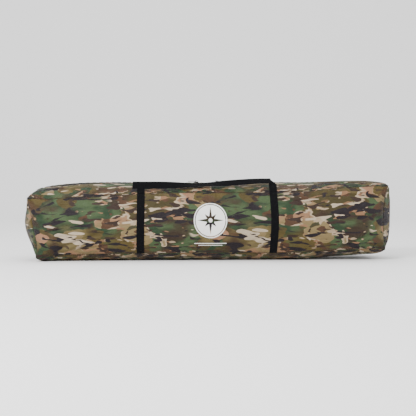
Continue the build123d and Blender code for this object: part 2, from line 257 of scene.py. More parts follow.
# the heights that the long seams and the crest come to
nx_mid = len(PANELS["front"]) // 2
seam_lo = cloth[PANELS["front"][nx_mid - 6 : nx_mid + 7, 0], 2].mean()
seam_hi = cloth[PANELS["front"][nx_mid - 6 : nx_mid + 7, -1], 2].mean()
HEIGHTS = ([0.0, seam_lo * 0.5, seam_lo, 0.12, seam_hi - 0.02, seam_hi, 0.5 * (seam_hi + 0.2578), 0.2578, 0.30], [0.0, 0.0125, 0.0275, 0.1245, 0.2065, 0.2250, 0.2430, 0.2578, 0.29])
# the gussets at the ends are slacker and swell out past their seams
for end, way, swell in (("left", -1, 0.015), ("right", 1, 0.011)):
    g = PANELS[end]
    a, b = np.meshgrid(np.linspace(-1, 1, g.shape[0]), np.linspace(-1, 1, g.shape[1]), indexing="ij")
    cloth[g, 0] += way * swell * np.sqrt(np.clip((1 - a**2) * (1 - b**2), 0, 1)) ** 1.3
cloth = settle(cloth)
cloth[:, 2] += 0.0006
print("cloth size", np.round(cloth.max(0) - cloth.min(0), 4).tolist())


# creases where the cloth is slack: ends (along, up) from the middle of the cut panel, depth, width
CREASES = {
    "front": [
        (-0.52, 0.020, -0.33, 0.080, 0.0034, 0.010), (-0.44, 0.012, -0.30, 0.048, 0.0024, 0.008), (-0.585, 0.150, -0.46, 0.118, 0.0026, 0.010),
        (-0.585, 0.085, -0.47, 0.100, 0.0022, 0.009), (-0.56, 0.190, -0.40, 0.176, 0.0020, 0.008), (-0.36, 0.185, -0.235, 0.160, 0.0018, 0.008),
        (0.235, 0.170, 0.36, 0.180, 0.0022, 0.007), (0.235, 0.120, 0.33, 0.116, 0.0018, 0.007), (0.235, 0.070, 0.345, 0.052, 0.0022, 0.008),
        (0.42, 0.185, 0.585, 0.160, 0.0026, 0.010), (0.46, 0.100, 0.588, 0.108, 0.0022, 0.009), (0.43, 0.020, 0.575, 0.062, 0.0030, 0.010),
        (-0.20, 0.150, -0.10, 0.172, 0.0016, 0.008), (0.10, 0.040, 0.205, 0.060, 0.0018, 0.008), (-0.20, 0.045, -0.08, 0.030, 0.0016, 0.008),
    ],
    "back": [
        (-0.56, 0.150, -0.40, 0.120, 0.0028, 0.010), (-0.50, 0.025, -0.34, 0.075, 0.0030, 0.010), (0.40, 0.180, 0.57, 0.150, 0.0026, 0.010),
        (0.42, 0.030, 0.56, 0.080, 0.0028, 0.010), (-0.20, 0.150, -0.06, 0.165, 0.0018, 0.008), (0.05, 0.050, 0.20, 0.035, 0.0020, 0.009),
        (0.235, 0.150, 0.36, 0.165, 0.0020, 0.007), (-0.36, 0.090, -0.235, 0.105, 0.0020, 0.008),
    ],
    "top": [
        (-0.56, 0.160, -0.38, 0.150, 0.0024, 0.009), (-0.54, 0.045, -0.40, 0.060, 0.0022, 0.009), (0.36, 0.050, 0.55, 0.035, 0.0022, 0.009),
        (0.33, 0.150, 0.52, 0.165, 0.0022, 0.009), (-0.16, 0.045, -0.02, 0.055, 0.0014, 0.007), (0.02, 0.150, 0.18, 0.142, 0.0014, 0.007),
    ],
}


class Sheet:
    """A simulated panel as a smooth surface over its flat cut: at(u, v) in metres from its corner."""

    def __init__(self, name, lu, lv, sign):
        g = cloth[PANELS[name]]
        self.name, self.lu, self.lv, self.sign = name, lu, lv, sign
        self.nu, self.nv = g.shape[0] - 1, g.shape[1] - 1
        g = np.concatenate([2 * g[:1] - g[1:2], g, 2 * g[-1:] - g[-2:-1]], 0)
        g = np.concatenate([2 * g[:, :1] - g[:, 1:2], g, 2 * g[:, -1:] - g[:, -2:-1]], 1)
        self.g = g

    def base(self, u, v):
        u, v = np.broadcast_arrays(np.asarray(u, float), np.asarray(v, float))
        a = np.clip(u / self.lu, -0.02, 1.02) * self.nu
        b = np.clip(v / self.lv, -0.02, 1.02) * self.nv
        i = np.clip(np.floor(a).astype(int), 0, self.nu - 1)
        j = np.clip(np.floor(b).astype(int), 0, self.nv - 1)
        s, t = a - i, b - j

        def weights(f):
            # Catmull-Rom weights: smooth, and still close to the cloth
            cr = [(-f + 2 * f**2 - f**3) / 2, (2 - 5 * f**2 + 3 * f**3) / 2, (f + 4 * f**2 - 3 * f**3) / 2, (f**3 - f**2) / 2]
            return cr

        ws, wt = weights(s), weights(t)
        p = 0.0
        for m in range(4):
            row = 0.0
            for n in range(4):
                row = row + wt[n][..., None] * self.g[i + m, j + n]
            p = p + ws[m][..., None] * row
        return p

    def normal(self, u, v, e=0.0015):
        u, v = np.broadcast_arrays(np.asarray(u, float), np.asarray(v, float))
        du = self.base(np.minimum(u + e, self.lu), v) - self.base(np.maximum(u - e, 0), v)
        dv = self.base(u, np.minimum(v + e, self.lv)) - self.base(u, np.maximum(v - e, 0))
        n = np.cross(du, dv) * self.sign
        return n / np.maximum(np.linalg.norm(n, axis=-1, keepdims=True), 1e-12)

    def edge_distance(self, u, v):
        return np.minimum(np.minimum(u, self.lu - u), np.minimum(v, self.lv - v))

    def relief(self, u, v):
        """Small shape finer than the simulation: cloth that rolls up beside each seam, and puckers along it."""
        u, v = np.broadcast_arrays(np.asarray(u, float), np.asarray(v, float))
        d = self.edge_distance(u, v)
        roll = 0.0013 * (1 - np.exp(-d / 0.0022)) * np.exp(-d / 0.016)
        along = np.where(np.minimum(v, self.lv - v) < np.minimum(u, self.lu - u), u, v)
        wave = np.sin(along * 2 * math.pi / 0.0173 + 3.1 * np.sin(along * 23)) + 0.6 * np.sin(along * 2 * math.pi / 0.0291 + 2 * np.sin(along * 9.1) + 1.3)
        pucker = 0.0007 * wave * np.clip(d / 0.006, 0, 1) * np.exp(-np.maximum(d - 0.006, 0) / 0.012)
        h = roll + pucker
        for x1, z1, x2, z2, deep, wide in CREASES.get(self.name, ()):
            a, b = x1 + LX / 2, z1
            du, dv = x2 - x1, z2 - z1
            length = math.hypot(du, dv)
            t = ((u - a) * du + (v - b) * dv) / length**2
            o = ((u - a) * dv - (v - b) * du) / length
            o = o + 0.004 * np.sin(t * 5 + x1 * 40)
            taper = smooth(t, -0.15, 0.35) * smooth(-t, -1.15, -0.65)
            h = h + 1.5 * deep * taper * (0.55 * np.exp(-(((o - wide) / wide) ** 2)) + 0.3 * np.exp(-(((o + 1.3 * wide) / (1.4 * wide)) ** 2)) - np.exp(-((o / (0.55 * wide)) ** 2))) * smooth(d, 0.0, 0.012)
        if self.name in ("left", "right"):
            for cu in (0, self.lu):
                for cv in (0, self.lv):
                    r, a = np.hypot(u - cu, v - cv), np.arctan2(np.abs(v - cv), np.abs(u - cu))
                    h = h + 0.0022 * np.sin(a * 11 + cu * 30 + cv * 17) * np.exp(-(((r - 0.035) / 0.026) ** 2)) * smooth(d, 0.0, 0.012)
        if self.name in ("front", "back"):
            for xc in (STRAP_L, STRAP_R):
                o = np.abs(u - (xc + LX / 2))
                h = h * smooth(o, WEB / 2 - 0.003, WEB / 2 + 0.004) - 0.0006 * (1 - smooth(o, WEB / 2 - 0.002, WEB / 2 + 0.003)) * np.clip(d / 0.01, 0, 1)
                drag = np.sin(v * 2 * math.pi / 0.0165 + 2.3 * np.sin(v * 31 + xc * 9))
                h = h + 0.0007 * drag * smooth(o, WEB / 2, WEB / 2 + 0.008) * np.exp(-np.maximum(o - WEB / 2, 0) / 0.022) * np.clip(d / 0.02, 0, 1)
        return h

    def at(self, u, v, lift=0.0):
        return self.base(u, v) + self.normal(u, v) * (self.relief(u, v) + lift)[..., None]


front = Sheet("front", LX, LZ, 1)
back = Sheet("back", LX, LZ, -1)
top = Sheet("top", LX, LY, 1)
bottom = Sheet("bottom", LX, LY, -1)
left = Sheet("left", LY, LZ, -1)
right = Sheet("right", LY, LZ, 1)


# ------------------------------------------------------------------ mesh builders
def link_object(name, mesh):
    o = bpy.data.objects.new(name, mesh)
    bpy.context.scene.collection.objects.link(o)
    return o


def make_mesh(name, verts, faces, uv=None, extra=None, smooth_shade=True):
    me = bpy.data.meshes.new(name)
    verts = np.asarray(verts, np.float32).reshape(-1, 3)
    faces = np.asarray(faces, np.int32)
    me.vertices.add(len(verts))
    me.vertices.foreach_set("co", verts.ravel())
    k = faces.shape[1]
    me.loops.add(faces.size)
    me.loops.foreach_set("vertex_index", faces.ravel())
    me.polygons.add(len(faces))
    me.polygons.foreach_set("loop_start", np.arange(0, faces.size, k, dtype=np.int32))
    me.polygons.foreach_set("use_smooth", np.full(len(faces), smooth_shade))
    if uv is not None:
        layer = me.uv_layers.new(name="cloth")
        layer.data.foreach_set("uv", np.asarray(uv, np.float32).reshape(-1, 2)[faces.ravel()].ravel())
    for key, values in (extra or {}).items():
        att = me.attributes.new(key, "FLOAT", "POINT")
        att.data.foreach_set("value", np.asarray(values, np.float32).ravel())
    me.update(calc_edges=True)
    me.validate()
    return link_object(name, me)


def grid_faces(nu, nv, flip=False, wrap_u=False, wrap_v=False, base=0):
    i = np.arange(nu if wrap_u else nu - 1)
    j = np.arange(nv if wrap_v else nv - 1)
    i, j = np.meshgrid(i, j, indexing="ij")
    a, b = i * nv + j, ((i + 1) % nu) * nv + j
    c, d = ((i + 1) % nu) * nv + (j + 1) % nv, i * nv + (j + 1) % nv
    f = np.stack([a, b, c, d], -1).reshape(-1, 4) + base
    return f[:, ::-1] if flip else f


def spaced(a, b, step, *marks):
    """Parameters from a to b about step apart that also pass through the marks."""
    stops = sorted({a, b, *[m for m in marks if a < m < b]})
    out = [np.array([stops[0]])]
    for p, q in zip(stops, stops[1:]):
        n = max(1, int(round((q - p) / step)))
        out.append(np.linspace(p, q, n + 1)[1:])
    return np.concatenate(out)


def cloth_piece(name, sheet, us, vs, material, print_at=(0, 0), print_turn=False, lift=None, thickness=0.0008):
    """A piece of a panel between the given cut lines, with its print and its seams' attributes."""
    U, V = np.meshgrid(us, vs, indexing="ij")
    P = sheet.at(U, V) if lift is None else sheet.at(U, V, lift(U, V))
    pu, pv = (V, U) if print_turn else (U, V)
    uv = np.stack([pu + print_at[0], pv + print_at[1]], -1)
    d = sheet.edge_distance(U, V)
    along = np.where(np.minimum(V, sheet.lv - V) < np.minimum(U, sheet.lu - U), U, V)
    o = make_mesh(name, P, grid_faces(len(us), len(vs), flip=sheet.sign < 0), uv, {"seam_gap": d, "seam_run": along})
    o.data.materials.append(material)
    o.data.materials.append(MAT["lining"])
    m = o.modifiers.new("thickness", "SOLIDIFY")
    m.thickness, m.offset, m.use_even_offset = thickness, -1, False
    m.material_offset, m.material_offset_rim = 1, 0
    return o, U, V


def ribbon(name, rows_top, rows_low, material, width_uv, run_uv, flip=False):
    """A closed strap between an upper and a lower skin of points, (stations, columns, 3)."""
    n, k = rows_top.shape[:2]
    ring = np.concatenate([rows_top, rows_low[:, ::-1]], 1)
    wu = np.concatenate([width_uv, width_uv[::-1]])
    uv = np.stack(np.meshgrid(run_uv, wu, indexing="ij")[::-1], -1)
    faces = grid_faces(n, 2 * k, wrap_v=True, flip=flip)
    caps = []
    for s, turn in ((0, 1), (n - 1, 0)):
        for j in range(k - 1):
            f = [s * 2 * k + j, s * 2 * k + j + 1, s * 2 * k + 2 * k - 2 - j, s * 2 * k + 2 * k - 1 - j]
            caps.append(f if bool(turn) != flip else f[::-1])
    o = make_mesh(name, ring, np.concatenate([faces, np.array(caps)]), uv)
    o.data.materials.append(material)
    return o


PROFILE = np.linspace(-1, 1, 13)
EDGE_ROUND = np.sqrt(np.clip(1 - np.abs(PROFILE) ** 14, 0, 1))


def laid_strap(name, sheet, centre_u, vs, width, lift, thick, material, across_v=False):
    """Webbing that lies on a panel. centre_u(v) is where its middle runs."""
    V = np.repeat(vs[:, None], len(PROFILE), 1)
    U = centre_u(V) + PROFILE[None] * width / 2
    a, b = (V, U) if across_v else (U, V)
    n = sheet.normal(a, b, 0.004)
    p = sheet.base(a, b) + n * sheet.relief(a, b)[..., None] * 0
    mean = sheet.relief(a, b)
    low = p + n * (np.minimum(mean, 0) + lift)[..., None]
    up = p + n * (np.maximum(mean, -0.0006) * 0.3 + lift + thick * EDGE_ROUND[None])[..., None]
    o = ribbon(name, up, low, material, PROFILE * width / 2, vs, flip=(sheet.sign > 0) == across_v)
    return o, a, b


def straight_u(sheet, x_target, vs):
    """The cut-line position u that keeps a strap's middle at x_target(z) for each v."""
    u = np.full(len(vs), LX / 2 + x_target(0.13))
    for _ in range(6):
        p = sheet.base(u, vs)
        u = u + (x_target(p[:, 2]) - p[:, 0])
    return lambda V: np.interp(V, vs, u)


def threads(name, points, directions, normals, length, radius, material):
    """Short stitches: small rounded bars, one at each point."""
    k = 5
    ang = np.arange(k) * 2 * math.pi / k
    side = np.cross(normals, directions)
    side /= np.maximum(np.linalg.norm(side, axis=1, keepdims=True), 1e-12)
    rings = [(-0.5, 0.25), (-0.36, 0.95), (0.0, 1.0), (0.36, 0.95), (0.5, 0.25)]
    verts = []
    for along, fat in rings:
        sink = -0.9 * radius * (2 * along) ** 4
        c = points + directions * (length * along) + normals * sink
        verts.append(c[:, None] + radius * fat * (side[:, None] * np.cos(ang)[None, :, None] + normals[:, None] * np.sin(ang)[None, :, None] * 0.8))
    verts = np.stack(verts, 1)  # (stitches, rings, k, 3)
    m = len(points)
    f = grid_faces(len(rings), k, wrap_v=True)
    faces = (f[None] + (np.arange(m) * len(rings) * k)[:, None, None]).reshape(-1, 4)
    o = make_mesh(name, verts, faces)
    o.data.materials.append(material)
    return o


def stitch_line(sheet, us, vs, pitch, lift):
    """Stitch centres, directions and normals along a line of (u, v) on a panel."""
    p = sheet.at(us, vs, np.full(len(us), lift))
    s = np.concatenate([[0], np.cumsum(np.linalg.norm(np.diff(p, axis=0), axis=1))])
    t = np.arange(pitch / 2, s[-1], pitch)
    u, v = np.interp(t, s, us), np.interp(t, s, vs)
    c = sheet.at(u, v, np.full(len(u), lift))
    e = 0.001
    u2, v2 = np.interp(t + e, s, us), np.interp(t + e, s, vs)
    u1, v1 = np.interp(t - e, s, us), np.interp(t - e, s, vs)
    d = sheet.base(u2, v2) - sheet.base(u1, v1)
    d /= np.maximum(np.linalg.norm(d, axis=1, keepdims=True), 1e-12)
    return c, d, sheet.normal(u, v), u, v


# ------------------------------------------------------------------ materials
class Shader:
    def __init__(self, name):
        self.mat = bpy.data.materials.new(name)
        self.mat.use_nodes = True
        self.t = self.mat.node_tree
        self.t.nodes.clear()
        self.out = self.t.nodes.new("ShaderNodeOutputMaterial")
        self.bsdf = self.t.nodes.new("ShaderNodeBsdfPrincipled")
        self.t.links.new(self.bsdf.outputs[0], self.out.inputs[0])

    def put(self, socket, value):
        if isinstance(value, bpy.types.NodeSocket):
            self.t.links.new(value, socket)
        elif isinstance(value, (tuple, list)) and len(value) == 3 and socket.type == "RGBA":
            socket.default_value = (*value, 1)
        else:
            socket.default_value = value

    def node(self, kind, **kw):
        n = self.t.nodes.new(kind)
        for k, v in kw.items():
            setattr(n, k, v)
        return n

    def math(self, op, a, b=0.0, c=None, clamp=False):
        n = self.node("ShaderNodeMath", operation=op, use_clamp=clamp)
        self.put(n.inputs[0], a)
        self.put(n.inputs[1], b)
        if c is not None:
            self.put(n.inputs[2], c)
        return n.outputs[0]

    def vmath(self, op, a, b=(0, 0, 0), scale=None):
        n = self.node("ShaderNodeVectorMath", operation=op)
        self.put(n.inputs[0], a)
        if op != "SCALE":
            self.put(n.inputs[1], b)
        else:
            self.put(n.inputs["Scale"], scale)
        return n.outputs[0]

    def step(self, x, lo, hi, to=(0.0, 1.0)):
        n = self.node("ShaderNodeMapRange", interpolation_type="SMOOTHSTEP")
        self.put(n.inputs[0], x)
        for i, v in zip((1, 2, 3, 4), (lo, hi, *to)):
            self.put(n.inputs[i], v)
        return n.outputs[0]

    def noise(self, vec, scale, detail=2.0, rough=0.5, distortion=0.0, color=False):
        n = self.node("ShaderNodeTexNoise")
        self.put(n.inputs["Vector"], vec)
        self.put(n.inputs["Scale"], scale)
        self.put(n.inputs["Detail"], detail)
        self.put(n.inputs["Roughness"], rough)
        self.put(n.inputs["Distortion"], distortion)
        return n.outputs["Color" if color else "Fac"]

    def mix(self, fac, a, b, mode="MIX"):
        n = self.node("ShaderNodeMix", data_type="RGBA", blend_type=mode)
        self.put(n.inputs[0], fac)
        self.put(n.inputs[6], a)
        self.put(n.inputs[7], b)
        return n.outputs[2]

    def uv(self, name="cloth"):
        return self.node("ShaderNodeUVMap", uv_map=name).outputs[0]

    def attribute(self, name):
        return self.node("ShaderNodeAttribute", attribute_name=name).outputs["Fac"]

    def split(self, vec):
        n = self.node("ShaderNodeSeparateXYZ")
        self.put(n.inputs[0], vec)
        return n.outputs

    def join(self, x, y, z):
        n = self.node("ShaderNodeCombineXYZ")
        for i, v in enumerate((x, y, z)):
            self.put(n.inputs[i], v)
        return n.outputs[0]

    def bump(self, height, distance, strength=1.0, normal=None):
        n = self.node("ShaderNodeBump")
        self.put(n.inputs["Height"], height)
        self.put(n.inputs["Distance"], distance)
        self.put(n.inputs["Strength"], strength)
        if normal is not None:
            self.put(n.inputs["Normal"], normal)
        return n.outputs[0]

    def finish(self, **kw):
        for k, v in kw.items():
            self.put(self.bsdf.inputs[k.replace("_", " ")], v)
        return self.mat


def rgb(r, g, b, depth=0.52, rich=1.16):
    """Display colour, 0 to 255, as the linear values that shaders take, a little deeper and richer for the bright studio."""
    lin = [((c / 255 + 0.055) / 1.055) ** 2.4 if c > 10 else c / 255 / 12.92 for c in (r, g, b)]
    grey = 0.2126 * lin[0] + 0.7152 * lin[1] + 0.0722 * lin[2]
    return tuple(max(0.0005, depth * (grey + (c - grey) * rich)) for c in lin)


REPEAT = 0.59  # the printed pattern repeats along the cloth


def camo(name, busy=1.0):
    s = Shader(name)
    uv = s.uv()
    u, v, _ = s.split(uv)
    turn = s.math("MULTIPLY", u, 2 * math.pi / REPEAT)

    def wrapped(st, k=1.0):
        r = REPEAT / (2 * math.pi) / st * k
        return s.join(s.math("MULTIPLY", s.math("COSINE", turn), r), s.math("MULTIPLY", s.math("SINE", turn), r), s.math("MULTIPLY", v, k))

    def wobble(q, scale, amount, detail=1.0):
        return s.vmath("ADD", q, s.vmath("SCALE", s.vmath("SUBTRACT", s.noise(q, scale, detail, 0.5, color=True), (0.5, 0.5, 0.5)), scale=amount))

    off = lambda q, o: s.vmath("ADD", q, o)
    AND = lambda a, b: s.math("MULTIPLY", a, b)
    p0 = wrapped(1.7, busy)
    p = wobble(wobble(p0, 18, 0.045, 2.0), 75, 0.009, 1.5)
    zone = s.noise(off(p0, (2.2, 6.1, 3.3)), 6.5, 1, 0.4)  # high: crowded with shapes, low: plain

    # broad ground: olive that drifts to brown and to khaki
    ground = s.mix(s.step(s.noise(off(p0, (3, 1, 5)), 9, 1, 0.4), 0.35, 0.62), rgb(114, 99, 60), rgb(84, 75, 46))
    ground = s.mix(s.step(s.noise(off(p0, (7, 2, 1)), 13, 2, 0.5), 0.54, 0.70), ground, rgb(138, 124, 88))
    # green, crisp on one side and fading on the other
    g1 = s.noise(off(p, (1, 4, 2)), 12, 1.2, 0.4)
    green = s.mix(s.step(s.noise(off(p, (2, 2, 9)), 20, 1, 0.4), 0.40, 0.60), rgb(55, 76, 52), rgb(90, 108, 76))
    fade = s.step(s.noise(off(p0, (5, 8, 2)), 11, 1, 0.4), 0.26, 0.46)
    col = s.mix(AND(s.step(g1, 0.478, 0.486), fade), ground, green)
    # soft dark brown shadows
    b1 = s.noise(off(p, (9, 3, 3)), 16, 1.5, 0.45)
    col = s.mix(AND(s.step(b1, 0.54, 0.68), 0.8), col, rgb(70, 48, 38))
    # tan and pinkish patches, pale along part of their edge
    t1 = s.noise(off(p, (4, 7, 6)), 17, 1.6, 0.45)
    tan = s.mix(s.step(s.noise(off(p0, (8, 5, 7)), 17, 1, 0.4), 0.36, 0.60), rgb(186, 145, 118), rgb(160, 142, 106))
    rim = s.step(s.noise(off(p0, (1, 1, 4)), 20, 1, 0.4), 0.46, 0.50)
    tan = s.mix(AND(s.step(t1, 0.605, 0.575), rim), tan, rgb(216, 197, 172))
    busy_here = s.step(zone, 0.44, 0.50)
    level = s.step(zone, 0.40, 0.58, (0.64, 0.545))
    t_on = s.step(s.math("SUBTRACT", t1, level), 0.0, 0.006)
    col = s.mix(t_on, col, tan)
    # brown marks over the tan
    m1 = s.noise(off(p, (14, 7, 1)), 24, 1.2, 0.4)
    col = s.mix(AND(s.step(m1, 0.60, 0.607), busy_here), col, rgb(98, 72, 54))
    # cream slivers and drops
    lo = wrapped(3.4, busy)
    pl = wobble(lo, 46, 0.016)
    c1 = s.noise(off(pl, (6, 6, 1)), 50, 0.7, 0.4)
    col = s.mix(AND(s.step(c1, 0.632, 0.639), s.step(s.noise(off(p0, (2, 9, 4)), 11, 1, 0.4), 0.47, 0.50)), col, rgb(222, 206, 184))
    # small flecks, pale and brown, where the print is crowded
    small = wobble(lo, 95, 0.008)
    crowd = s.step(zone, 0.51, 0.56)
    flecks = AND(s.step(s.noise(off(small, (4, 9, 9)), 86, 0.7, 0.4), 0.630, 0.640), crowd)
    col = s.mix(flecks, col, s.mix(s.step(s.noise(off(p0, (5, 5, 5)), 30, 0, 0.4), 0.47, 0.49), rgb(206, 186, 160), rgb(168, 132, 104)))
    col = s.mix(AND(s.step(s.noise(off(small, (12, 1, 7)), 78, 0.7, 0.4), 0.625, 0.635), s.step(zone, 0.46, 0.50)), col, rgb(66, 50, 42))
    # dark twigs: the band where a stretched noise crosses its middle, broken up and knobbly
    lower = wrapped(4.6, busy)
    pd = wobble(lower, 64, 0.013)
    d1 = s.noise(off(pd, (2, 5, 8)), 34, 0.6, 0.45)
    width = s.step(s.noise(off(wobble(p0, 60, 0.01), (7, 7, 3)), 34, 0.6, 0.4), 0.44, 0.60, (-0.004, 0.050))
    twig = s.math("LESS_THAN", s.math("ABSOLUTE", s.math("SUBTRACT", d1, 0.5)), width)
    blob = s.step(s.noise(off(wobble(lo, 64, 0.012), (11, 2, 3)), 46, 0.6, 0.4), 0.640, 0.645)
    where = s.step(s.noise(off(p0, (3, 12, 2)), 9, 1, 0.4), 0.41, 0.44)
    dark = AND(s.math("MAXIMUM", twig, blob), where)
    col = s.mix(dark, col, rgb(38, 29, 35))
    # printed cloth is never quite even
    col = s.mix(0.30, col, s.mix(s.noise(uv, 900, 2, 0.6), rgb(60, 55, 45), rgb(190, 180, 160)), "SOFT_LIGHT")
    # painted shade: the cloth's colour is darkened into each seam, where shade falls
    gap = s.attribute("seam_gap")
    col = s.mix(s.step(gap, 0.0045, 0.0, (0.0, 0.45)), col, rgb(30, 26, 22))
    # oxford weave, small puckers beside the seams, and soft creases
    wu = s.math("SINE", s.math("MULTIPLY", u, 2 * math.pi / 0.00085))
    wv = s.math("SINE", s.math("MULTIPLY", v, 2 * math.pi / 0.00085))
    weave = s.math("MULTIPLY", wu, wv)
    run = s.attribute("seam_run")
    pucker = s.noise(s.join(s.math("MULTIPLY", run, 1.0), s.math("MULTIPLY", gap, 0.25), 0.0), 130, 2, 0.5)
    near = s.step(gap, 0.030, 0.002)
    creases = s.noise(s.vmath("MULTIPLY", uv, (1.0, 2.3, 1.0)), 26, 4, 0.55, 1.2)
    n = s.bump(creases, 0.011, 0.7)
    n = s.bump(s.math("MULTIPLY", pucker, near), 0.0045, 0.9, n)
    n = s.bump(weave, 0.00012, 0.5, n)
    rough = s.step(s.noise(uv, 40, 3, 0.5), 0.3, 0.7, (0.46, 0.60))
    return s.finish(Base_Color=col, Roughness=rough, Normal=n, Specular_IOR_Level=0.20)


def webbing(name, colour=(17, 17, 20)):
    s = Shader(name)
    uv = s.uv()
    u, v, _ = s.split(uv)
    # plain woven webbing: fat picks across, with ends that show as small chevrons
    pick = s.math("SINE", s.math("MULTIPLY", v, 2 * math.pi / 0.0017))
    ends = s.math("SINE", s.math("ADD", s.math("MULTIPLY", u, 2 * math.pi / 0.0024), s.math("MULTIPLY", s.math("SIGN", pick), 1.5)))
    h = s.math("ADD", s.math("MULTIPLY", pick, 0.6), s.math("MULTIPLY", ends, 0.5))
    fuzz = s.noise(uv, 1500, 2, 0.6)
    # painted shade and highlight: the weave's hollows are coloured darker and its raised picks and ends lighter
    col = s.mix(s.step(h, -1.0, 1.0), rgb(*[c * 0.7 for c in colour]), rgb(*[c * 1.25 for c in colour]))
    col = s.mix(s.step(s.noise(uv, 60, 3, 0.6), 0.5, 0.8, (0.0, 0.30)), col, rgb(32, 31, 32))
    n = s.bump(h, 0.00035, 0.8)
    n = s.bump(fuzz, 0.0001, 0.5, n)
    return s.finish(Base_Color=col, Roughness=0.78, Normal=n, Specular_IOR_Level=0.06, Sheen_Weight=0.01, Sheen_Roughness=0.5)


def simple(name, colour, rough, spec=0.4, metal=0.0, grain=(400, 0.0001, 0.3), vary=0.25, coord="Object", sheen=0.0):
    s = Shader(name)
    co = s.node("ShaderNodeTexCoord").outputs[coord]
    n = s.noise(co, grain[0], 3, 0.6)
    big = s.noise(co, 25, 3, 0.6)
    col = s.mix(s.step(big, 0.35, 0.7), rgb(*[c * (1 - vary) for c in colour]), rgb(*[min(255, c * (1 + vary)) for c in colour]))
    return s.finish(
        Base_Color=col, Roughness=s.step(n, 0.3, 0.7, (rough * 0.88, min(1.0, rough * 1.12))), Metallic=metal,
        Specular_IOR_Level=spec, Normal=s.bump(n, grain[1], grain[2]), Sheen_Weight=sheen,
    )


def ink(name):
    s = Shader(name)
    uv = s.uv()
    u, v, _ = s.split(uv)
    weave = s.math("MULTIPLY", s.math("SINE", s.math("MULTIPLY", u, 2 * math.pi / 0.00085)), s.math("SINE", s.math("MULTIPLY", v, 2 * math.pi / 0.00085)))
    crack = s.noise(s.vmath("MULTIPLY", uv, (1, 1.6, 1)), 420, 4, 0.7)
    col = s.mix(s.step(crack, 0.62, 0.72, (0.0, 0.30)), rgb(246, 245, 240, 0.82, 1.0), rgb(190, 180, 160))
    col = s.mix(s.step(s.noise(uv, 35, 3, 0.6), 0.5, 0.8, (0, 0.25)), col, rgb(206, 200, 188))
    n = s.bump(weave, 0.00010, 0.5)
    n = s.bump(crack, 0.0001, 0.4, n)
    return s.finish(Base_Color=col, Roughness=0.55, Normal=n, Specular_IOR_Level=0.35)


def lining(name):
    s = Shader(name)
    uv = s.uv()
    creases = s.noise(s.vmath("MULTIPLY", uv, (1.0, 2.0, 1.0)), 22, 4, 0.55, 1.0)
    col = s.mix(s.step(s.noise(uv, 18, 3, 0.6), 0.3, 0.7), rgb(52, 54, 46), rgb(72, 73, 62))
    n = s.bump(creases, 0.006, 0.6)
    n = s.bump(s.noise(uv, 700, 2, 0.5), 0.00015, 0.4, n)
    return s.finish(Base_Color=col, Roughness=0.42, Normal=n, Specular_IOR_Level=0.45)


MAT = {
    "camo": camo("camouflage_cloth"),
    "camo_busy": camo("camouflage_cloth_gusset", busy=1.45),
    "webbing": webbing("black_webbing"),
    "tape": webbing("zipper_tape", (15, 15, 17)),
    "binding": webbing("seam_binding", (22, 22, 24)),
    "coil": simple("zipper_coil", (26, 26, 28), 0.38, 0.5, grain=(900, 0.00005, 0.2)),
    "metal": simple("black_enamel", (20, 20, 21), 0.55, 0.12, 0.0, (700, 0.00005, 0.25), vary=0.35),
    "thread": simple("black_thread", (19, 19, 20), 0.8, 0.1, grain=(2500, 0.0001, 0.6)),
    "ink": ink("white_ink"),
    "lining": lining("coated_lining"),
}


def done(o, body, nodes):
    """The piece rides its body and stands for its CAD nodes."""
    if body:
        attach(o, body)
    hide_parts(*([nodes] if isinstance(nodes, str) else nodes))
    return o


# ------------------------------------------------------------------ sewn panels
STEP = 0.004
U_LO, U_HI = LX / 2 - ZIP_HALF, LX / 2 + ZIP_HALF
V_MID = LY / 2
fine_edge = (0.0015, 0.003, 0.006, 0.010)


def lines(length, step, *marks):
    near = [m for e in fine_edge for m in (e, length - e)]
    return spaced(0.0, length, step, *near, *marks)


us, vz, vy = lines(LX, STEP), lines(LZ, STEP), lines(LY, STEP)
strap_marks = [LX / 2 + c + s * (WEB / 2 + e) for c in (STRAP_L, STRAP_R) for s in (-1, 1) for e in (-0.003, 0.0, 0.004)]
us_front = lines(LX, STEP, *strap_marks)
o, _, _ = cloth_piece("front_panel_cloth", front, us_front, vz, MAT["camo"], (0.02, 0.10))
done(o, "bag", "front_panel")
o, _, _ = cloth_piece("back_panel_cloth", back, us_front, vz, MAT["camo"], (0.31, 0.62))
done(o, "bag", "back_panel")
o, _, _ = cloth_piece("bottom_panel_cloth", bottom, us, vy, MAT["camo_busy"], (0.17, 1.30))
done(o, "bag", "bottom_panel")
o, _, _ = cloth_piece("left_end_cloth", left, vy, vz, MAT["camo_busy"], (0.41, 2.10))
done(o, "bag", "left_end_panel")
o, _, _ = cloth_piece("right_end_cloth", right, vy, vz, MAT["camo_busy"], (0.08, 2.63))
done(o, "bag", "right_end_panel")

# ------------------------------------------------------------------ top: yokes, flaps, zipper
TOP_PRINT = (0.23, 3.21)


def bend(o):
    """Bakes the object's placement into its mesh."""
    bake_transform(o)


def valley(U, V):
    """The cloth dips to the zipper, and each flap's edge is a folded hem."""
    d = np.abs(V - V_MID)
    inside = smooth(U, U_LO - 0.012, U_LO + 0.01) * smooth(-U, -U_HI - 0.012, -U_HI + 0.01)
    hem = 0.0009 * smooth(-d, -MOUTH - 0.009, -MOUTH - 0.007) * smooth(d, MOUTH - 0.0006, MOUTH + 0.0012)
    pull = 0.0005 * np.sin(U * 2 * math.pi / 0.021 + 2.2 * np.sin(U * 19)) * np.exp(-np.maximum(d - MOUTH, 0) / 0.014)
    return inside * (hem + pull - 0.0022 * np.exp(-((d / 0.020) ** 2)))


